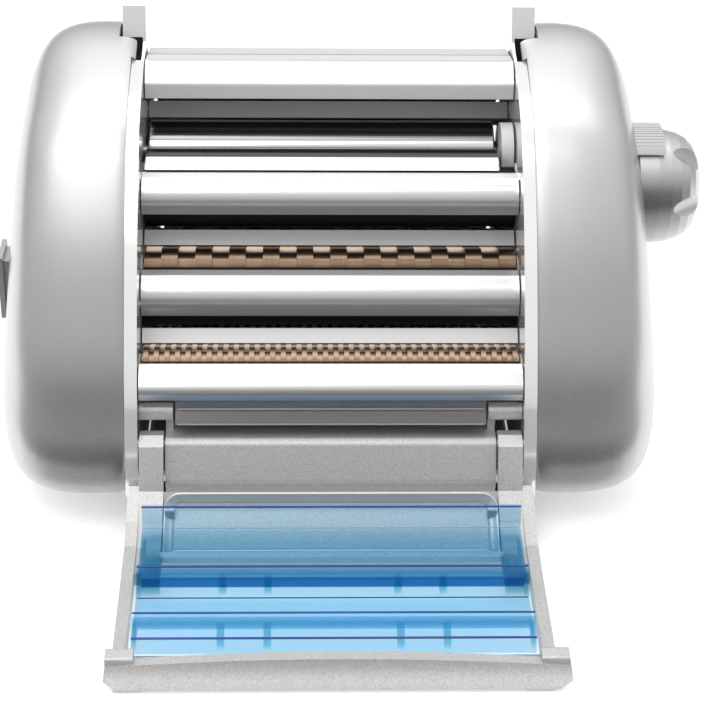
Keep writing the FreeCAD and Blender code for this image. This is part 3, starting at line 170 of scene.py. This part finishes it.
# painted reflections: alternating light and dark bands by how far each face turns to the front
paint_light_by_tilt(M["roller_rear"], "Y", [(-0.86, 0.06), (-0.80, 0.62), (-0.72, 0.70), (-0.69, 0.16), (-0.62, 0.30), (-0.52, 0.34), (-0.46, 0.10),
                                    (-0.34, 0.22), (-0.20, 0.12), (0.4, 0.25)])
M["steel"] = mat("steel", (0.55, 0.55, 0.56), 0.30, metal=1.0)
noise_rough(M["steel"], 80.0, 0.24, 0.36)
M["guide"] = mat("guide", (0.86, 0.86, 0.855), 0.45, metal=0.10)
noise_rough(M["guide"], 50.0, 0.42, 0.52)
M["satin"] = mat("satin", (0.64, 0.64, 0.635), 0.36, metal=0.85)
# painted shade: faces turned straight to the front painted darker, the rest an even grey
paint_light_by_tilt(M["satin"], "Y", [(-1.0, 0.15), (-0.94, 0.21), (-0.84, 0.40), (-0.66, 0.56), (-0.3, 0.62), (0.6, 0.62)], (26, 26, 26), 0.05)
noise_bump(M["satin"], 1900.0, 0.14, 0.0001)
M["plastic"] = mat("plastic", (0.56, 0.555, 0.545), 0.46, metal=0.55)
noise_colour(M["plastic"], 1900.0, (0.48, 0.475, 0.465), (0.63, 0.625, 0.615))
noise_bump(M["plastic"], 1400.0, 0.30, 0.0002)
M["black"] = mat("black", (0.006, 0.006, 0.006), 0.55, spec=0.15)
noise_rough(M["black"], 60.0, 0.50, 0.60)
M["gloss_black"] = mat("gloss_black", (0.010, 0.010, 0.012), 0.18)
noise_rough(M["gloss_black"], 60.0, 0.14, 0.24)
M["brass"] = mat("brass", (0.62, 0.46, 0.34), 0.30, metal=1.0)
noise_rough(M["brass"], 300.0, 0.24, 0.36)
# painted shade and highlight: dark brown, with a painted highlight on faces turned straight up
paint_light_by_tilt(M["brass"], "Z", [(-0.2, (0.06, 0.038, 0.024)), (0.30, (0.075, 0.047, 0.030)), (0.62, (0.095, 0.062, 0.041)), (0.88, (0.17, 0.115, 0.078)),
                              (0.97, (0.34, 0.24, 0.17))], (14, 1, 1), 0.05)
M["brass_rear"] = mat("brass_rear", (0.62, 0.46, 0.34), 0.32, metal=1.0)
noise_rough(M["brass_rear"], 300.0, 0.26, 0.38)
# painted highlight: the rear cutters' brass painted bright on faces turned partly up, a lit copy of the brass above
paint_light_by_tilt(M["brass_rear"], "Z", [(-0.3, (0.14, 0.09, 0.06)), (0.0, (0.55, 0.40, 0.29)), (0.3, (0.90, 0.72, 0.56)), (0.62, (0.84, 0.66, 0.51)),
                                   (0.85, (0.26, 0.17, 0.11))], (14, 1, 1), 0.05)
M["ribbed"] = mat("ribbed", (0.60, 0.60, 0.59), 0.35, metal=0.7)
noise_rough(M["ribbed"], 60.0, 0.30, 0.40)
wt_ = M["ribbed"].node_tree
wv = wt_.nodes.new("ShaderNodeTexWave")
wv.wave_type = "BANDS"
wv.bands_direction = "Y"
wv.inputs["Scale"].default_value = 190.0
wt_.links.new(texcoord(wt_, (1, 1, 1)).outputs["Vector"], wv.inputs["Vector"])
wb = wt_.nodes.new("ShaderNodeBump")
wb.inputs["Strength"].default_value = 0.8
wb.inputs["Distance"].default_value = 0.0006
wt_.links.new(wv.outputs["Fac"], wb.inputs["Height"])
wt_.links.new(wb.outputs["Normal"], wt_.nodes["Principled BSDF"].inputs["Normal"])
M["white"] = mat("white", (0.72, 0.72, 0.70), 0.45)
noise_rough(M["white"], 60.0, 0.40, 0.50)
M["rubber"] = mat("rubber", (0.02, 0.02, 0.02), 0.7)
noise_bump(M["rubber"], 900.0, 0.3, 0.0002)
M["smoke"] = mat("smoke", (0.42, 0.40, 0.40), 0.12, trans=0.7, ior=1.45)
noise_rough(M["smoke"], 80.0, 0.08, 0.16)


def blue_glass():
    """Tinted clear plastic: light crosses it straight, and the wall takes more red and
    green the longer the path inside it is, so edges and ribs are deep blue."""
    m = bpy.data.materials.new("blue_clear")
    m.use_nodes = True
    nt = m.node_tree
    nt.nodes.clear()
    out = nt.nodes.new("ShaderNodeOutputMaterial")
    tr = nt.nodes.new("ShaderNodeBsdfTransparent")
    tr.inputs["Color"].default_value = (0.95, 0.97, 1.0, 1)
    pb = nt.nodes.new("ShaderNodeBsdfPrincipled")
    pb.inputs["Base Color"].default_value = (0.05, 0.28, 0.80, 1)
    pb.inputs["Roughness"].default_value = 0.12
    pb.inputs["Metallic"].default_value = 0.0
    pb.inputs["Coat Weight"].default_value = 1.0
    pb.inputs["Coat Roughness"].default_value = 0.05
    ns = nt.nodes.new("ShaderNodeTexNoise")
    ns.inputs["Scale"].default_value = 25.0
    mr = nt.nodes.new("ShaderNodeMapRange")
    mr.inputs["To Min"].default_value = 0.06
    mr.inputs["To Max"].default_value = 0.10
    nt.links.new(ns.outputs["Fac"], mr.inputs["Value"])
    m1 = nt.nodes.new("ShaderNodeMixShader")
    nt.links.new(mr.outputs["Result"], m1.inputs["Fac"])
    nt.links.new(tr.outputs[0], m1.inputs[1])
    nt.links.new(pb.outputs[0], m1.inputs[2])
    nt.links.new(m1.outputs[0], out.inputs["Surface"])
    va = nt.nodes.new("ShaderNodeVolumeAbsorption")
    va.inputs["Color"].default_value = (0.02, 0.62, 0.74, 1)
    va.inputs["Density"].default_value = 255.0
    nt.links.new(va.outputs[0], out.inputs["Volume"])
    return m


M["blue"] = blue_glass()

CHROME = ["left_side_plate", "right_side_plate"]
COVERS = ["top_cover", "rear_cover", "roller_front_cover", "wide_cutter_cover", "fine_cutter_cover"]
LOOK = {}
for n in NODES:
    LOOK[n] = "steel"
for n in CHROME:
    LOOK[n] = "chrome"
for n in COVERS:
    LOOK[n] = "cover"
LOOK["top_cover"] = "cover_top"
LOOK["rear_cover"] = "cover_top"
LOOK["front_roller"] = "roller_front"
LOOK["rear_roller"] = "roller_rear"
for n in ("feed_guide", "cutter_feed_guides"):
    LOOK[n] = "guide"
for n in ("left_housing", "right_housing", "thickness_knob"):
    LOOK[n] = "satin"
for n in ("base_frame", "tray_frame", "index_pad"):
    LOOK[n] = "plastic"
for n in ("roller_shrouds", "cord_gland"):
    LOOK[n] = "black"
LOOK["index_pad"] = "ribbed"
LOOK["switch_rocker"] = "plastic"
LOOK["switch_bezel"] = "satin"
for n in ("wide_cutter_front", "wide_cutter_rear", "fine_cutter_front", "fine_cutter_rear"):
    LOOK[n] = "brass"
for n in ("wide_cutter_rear", "fine_cutter_rear"):
    LOOK[n] = "brass_rear"
for n in ("nip_end_guide", "exit_ramp", "front_scraper", "wide_cutter_combs", "fine_cutter_combs", "roller_bushes", "roller_carriers", "carrier_rails"):
    LOOK[n] = "white"
for n in NODES:
    if n.endswith("_gear") or n.endswith("_gears"):
        LOOK[n] = "white"
for n in ("motor_pinion", "adjuster_pinion"):
    LOOK[n] = "brass"
LOOK["rubber_feet"] = "rubber"
LOOK["clear_guard"] = "blue"
LOOK["exit_flap"] = "smoke"
for n, o in NODES.items():
    m = M[LOOK[n]]
    if len(o.material_slots) == 0:
        o.data.materials.append(m)
    for s in o.material_slots:
        s.material = m


# ------------------------------------------------------------------ visual pieces
def loops_mesh(name, loops, material, body, smooth=True):
    """A closed tube through equal loops of points; the last loop joins the first."""
    me = bpy.data.meshes.new(name)
    n = len(loops[0])
    verts = [p for lp in loops for p in lp]
    faces = []
    for k in range(len(loops)):
        k2 = (k + 1) % len(loops)
        for i in range(n):
            j = (i + 1) % n
            faces.append((k * n + i, k * n + j, k2 * n + j, k2 * n + i))
    me.from_pydata(verts, [], faces)
    bm = bmesh.new()
    bm.from_mesh(me)
    bmesh.ops.recalc_face_normals(bm, faces=bm.faces)
    bm.to_mesh(me)
    bm.free()
    for p in me.polygons:
        p.use_smooth = smooth
    me.materials.append(material)
    o = bpy.data.objects.new(name, me)
    bpy.context.scene.collection.objects.link(o)
    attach(o, body)
    return o


def rounded_rect(a, s0, s1, r, sides=26, corner=8):
    """Points of a rounded rectangle in (x, s), with enough on each side to bend."""
    pts = []

    def side(p, q):
        for k in range(sides):
            t = k / sides
            pts.append((p[0] + (q[0] - p[0]) * t, p[1] + (q[1] - p[1]) * t))

    def turn(c, a0):
        for k in range(corner):
            t = math.radians(a0 + 90.0 * k / corner)
            pts.append((c[0] + r * math.cos(t), c[1] + r * math.sin(t)))

    side((a, s0 + r), (a, s1 - r))
    turn((a - r, s1 - r), 0)
    side((a - r, s1), (-a + r, s1))
    turn((-a + r, s1 - r), 90)
    side((-a, s1 - r), (-a, s0 + r))
    turn((-a + r, s0 + r), 180)
    side((-a + r, s0), (a - r, s0))
    turn((a - r, s0 + r), 270)
    return pts


# upper face of the recessed pan in side view, back to front, with its corners eased
PAN = [(-86.9, 22.0), (-88.4, 19.2), (-89.6, 17.3), (-92.0, 15.4), (-96.0, 13.2), (-100.0, 11.2), (-104.0, 9.3), (-107.0, 8.5), (-109.0, 8.2),
       (-110.2, 9.2), (-111.6, 11.9)]


def pan_at(s):
    """Point and upward normal of the pan at distance s from its back edge."""
    for (a, b) in zip(PAN, PAN[1:]):
        d = math.hypot(b[0] - a[0], b[1] - a[1])
        if s <= d or (a, b) == (PAN[-2], PAN[-1]):
            t = s / d
            u = ((b[0] - a[0]) / d, (b[1] - a[1]) / d)
            return (a[0] + (b[0] - a[0]) * t, a[1] + (b[1] - a[1]) * t), (u[1], -u[0])
        s -= d


PAN_LEN = sum(math.hypot(b[0] - a[0], b[1] - a[1]) for a, b in zip(PAN, PAN[1:]))
loops = []
for inset, lift in ((0.0, 0.10), (0.0, 1.5), (0.5, 1.7), (1.1, 1.3), (1.8, 0.75), (2.8, 0.3), (4.0, 0.12), (4.0, 0.10)):
    loop = []
    for x, sv in rounded_rect(62.8 - inset, inset, PAN_LEN - inset, 6.5 - inset):
        (y, z), (ny, nz) = pan_at(sv)
        loop.append(P(x, y + ny * lift, z + nz * lift))
    loops.append(loop)
M["rim"] = mat("rim", (0.74, 0.735, 0.725), 0.30, metal=0.6)
noise_rough(M["rim"], 80.0, 0.25, 0.36)
loops_mesh("pan_rim", loops, M["rim"], "tray")

def bar(name, y, z, h, d, x0, x1, material, body):
    """A thin strip along X with eased edges, centred on (y, z) in side view."""
    ring = []
    for k in range(12):
        t = 2 * math.pi * k / 12
        c, q = math.cos(t), math.sin(t)
        ring.append((y + 0.5 * d * math.copysign(abs(c) ** 0.6, c), z + 0.5 * h * math.copysign(abs(q) ** 0.6, q)))
    me = bpy.data.meshes.new(name)
    verts = [P(x0, a, b) for a, b in ring] + [P(x1, a, b) for a, b in ring]
    n = len(ring)
    faces = [(i, (i + 1) % n, n + (i + 1) % n, n + i) for i in range(n)] + [tuple(range(n)), tuple(range(2 * n - 1, n - 1, -1))]
    me.from_pydata(verts, [], faces)
    bm = bmesh.new()
    bm.from_mesh(me)
    bmesh.ops.recalc_face_normals(bm, faces=bm.faces)
    bm.to_mesh(me)
    bm.free()
    me.materials.append(material)
    o = bpy.data.objects.new(name, me)
    bpy.context.scene.collection.objects.link(o)
    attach(o, body)
    return o


M["blue_edge"] = mat("blue_edge", (0.02, 0.075, 0.30), 0.18)
noise_rough(M["blue_edge"], 60.0, 0.14, 0.24)
M["blue_line"] = mat("blue_line", (0.30, 0.52, 0.80), 0.25)
noise_rough(M["blue_line"], 60.0, 0.20, 0.30)
# the guard's cut edges, which show as deep blue lines
for i, (y, z, h, d) in enumerate([(-102.0, 25.6, 0.5, 0.9), (-132.6, 20.9, 0.6, 1.2), (-157.7, 19.3, 0.55, 0.8), (-166.3, 14.9, 0.6, 0.9)]):
    bar("guard_edge_%d" % i, y, z, h, d, -70.0, 70.0, M["blue_edge"], "tray")
bar("guard_line_0", -102.9, 16.9, 0.35, 0.5, -69.6, 69.6, M["blue_line"], "tray")
bar("guard_line_1", -140.6, 12.9, 0.35, 0.5, -69.6, 69.6, M["blue_edge"], "tray")


def deep_blue():
    """The filled step under the guard's first edge."""
    m = bpy.data.materials.new("blue_deep")
    m.use_nodes = True
    nt = m.node_tree
    nt.nodes.clear()
    out = nt.nodes.new("ShaderNodeOutputMaterial")
    tr = nt.nodes.new("ShaderNodeBsdfTransparent")
    tr.inputs["Color"].default_value = (0.30, 0.62, 0.84, 1)
    pb = nt.nodes.new("ShaderNodeBsdfPrincipled")
    pb.inputs["Base Color"].default_value = (0.03, 0.30, 0.66, 1)
    pb.inputs["Roughness"].default_value = 0.2
    ns = nt.nodes.new("ShaderNodeTexNoise")
    ns.inputs["Scale"].default_value = 40.0
    mr = nt.nodes.new("ShaderNodeMapRange")
    mr.inputs["To Min"].default_value = 0.25
    mr.inputs["To Max"].default_value = 0.40
    nt.links.new(ns.outputs["Fac"], mr.inputs["Value"])
    mx = nt.nodes.new("ShaderNodeMixShader")
    nt.links.new(mr.outputs["Result"], mx.inputs["Fac"])
    nt.links.new(tr.outputs[0], mx.inputs[1])
    nt.links.new(pb.outputs[0], mx.inputs[2])
    nt.links.new(mx.outputs[0], out.inputs["Surface"])
    return m


M["blue_deep"] = deep_blue()
bar("guard_step_fill", -136.2, 16.6, 4.4, 1.0, -68.2, 68.2, M["blue_deep"], "tray")

# black strips painting the shadow lines where the rounded covers meet the gaps in front of the rollers
for i, (y, z, w) in enumerate([(-9.2, 118.4, 71.5), (-29.8, 86.9, 71.5), (-59.8, 62.7, 71.5)]):
    bar("gap_shadow_line_%d" % i, y, z, 0.5, 0.6, -w, w, M["black"], "housing")
# raised frame of the exit flap
M["flap_frame"] = mat("flap_frame", (0.42, 0.42, 0.43), 0.3, metal=0.3)
noise_rough(M["flap_frame"], 60.0, 0.25, 0.35)
bar("flap_frame_top", -69.25, 47.8, 0.5, 0.5, -57.6, 57.6, M["flap_frame"], "housing")
bar("flap_frame_low", -72.8, 43.2, 0.5, 0.5, -57.6, 57.6, M["flap_frame"], "housing")

# ------------------------------------------------------------------ stage
def card(name, loc, size, rot, strength, colour=(1, 1, 1)):
    """A studio card that only shiny surfaces mirror; dark when its strength is 0."""
    me = bpy.data.meshes.new(name)
    w, h = size[0] / 2, size[1] / 2
    me.from_pydata([(-w, -h, 0), (w, -h, 0), (w, h, 0), (-w, h, 0)], [], [(0, 1, 2, 3)])
    o = bpy.data.objects.new(name, me)
    bpy.context.scene.collection.objects.link(o)
    o.location = loc
    o.rotation_euler = rot
    m = bpy.data.materials.new(name)
    m.use_nodes = True
    nt = m.node_tree
    nt.nodes.clear()
    out = nt.nodes.new("ShaderNodeOutputMaterial")
    em = nt.nodes.new("ShaderNodeEmission")
    em.inputs["Color"].default_value = (*colour, 1)
    em.inputs["Strength"].default_value = strength
    nt.links.new(em.outputs[0], out.inputs["Surface"])
    me.materials.append(m)
    o.visible_camera = False
    o.visible_diffuse = False
    o.visible_transmission = False
    o.visible_shadow = False
    return o


floor = bpy.data.meshes.new("floor")
floor.from_pydata([(-30, -30, 0), (30, -30, 0), (30, 30, 0), (-30, 30, 0)], [], [(0, 1, 2, 3)])
fo = bpy.data.objects.new("floor", floor)
bpy.context.scene.collection.objects.link(fo)
fm = mat("floor", (0.97, 0.97, 0.97), 0.9, spec=0.0)
fm.node_tree.nodes["Principled BSDF"].inputs["Emission Color"].default_value = (1, 1, 1, 1)
fm.node_tree.nodes["Principled BSDF"].inputs["Emission Strength"].default_value = 0.30
floor.materials.append(fm)
fo.location.z = -0.0002

world = bpy.data.worlds.new("world")
bpy.context.scene.world = world
world.use_nodes = True
bg = world.node_tree.nodes["Background"]
wt = world.node_tree
wc = wt.nodes.new("ShaderNodeTexCoord")
wsep = wt.nodes.new("ShaderNodeSeparateXYZ")
wt.links.new(wc.outputs["Generated"], wsep.inputs["Vector"])
wr = wt.nodes.new("ShaderNodeValToRGB")
while len(wr.color_ramp.elements) < 5:
    wr.color_ramp.elements.new(0.5)
for e, (p, c) in zip(wr.color_ramp.elements, [(0.0, 0.30), (0.18, 0.42), (0.45, 0.72), (0.75, 0.95), (1.0, 1.0)]):
    e.position = p
    e.color = (c, c, c, 1)
wt.links.new(wsep.outputs["Z"], wr.inputs["Fac"])
wt.links.new(wr.outputs["Color"], bg.inputs["Color"])
bg.inputs["Strength"].default_value = 1.05
bpy.context.scene.view_settings.view_transform = "Standard"
bpy.context.scene.cycles.transparent_max_bounces = 32


def area(name, loc, target, size, energy, spread=180):
    d = bpy.data.lights.new(name, "AREA")
    d.shape = "RECTANGLE"
    d.size, d.size_y = size
    d.energy = energy
    d.spread = math.radians(spread)
    o = bpy.data.objects.new(name, d)
    bpy.context.scene.collection.objects.link(o)
    o.location = loc
    v = Vector(target) - Vector(loc)
    o.rotation_euler = v.to_track_quat("-Z", "Y").to_euler()
    return o


area("key", (-0.4, -0.5, 1.6), (0, 0, 0.05), (1.2, 1.0), 7)
area("top", (0.0, 0.5, 1.8), (0, 0, 0.05), (1.6, 0.9), 6)

# a grey board on the table in front, which darkens what faces forward and down
card("front_board", (0.0, -0.50, 0.004), (3.0, 0.70), (0, 0, 0), 0.10)
card("front_dark", (0.0, -1.9, 0.15), (4.0, 0.9), (math.radians(90), 0, 0), 0.18)

# ------------------------------------------------------------------ camera
cd = bpy.data.cameras.new("cam")
cam = bpy.data.objects.new("cam", cd)
bpy.context.scene.collection.objects.link(cam)
cd.lens = 106.8
cd.sensor_width = 36.0
turn = Matrix.Rotation(math.radians(60.0), 3, "X") @ Matrix.Rotation(math.radians(-1.55), 3, "Y")
cam.location = P(-13.4, -740.1, 459.9)
cam.rotation_euler = turn.to_euler()
bpy.context.scene.camera = cam
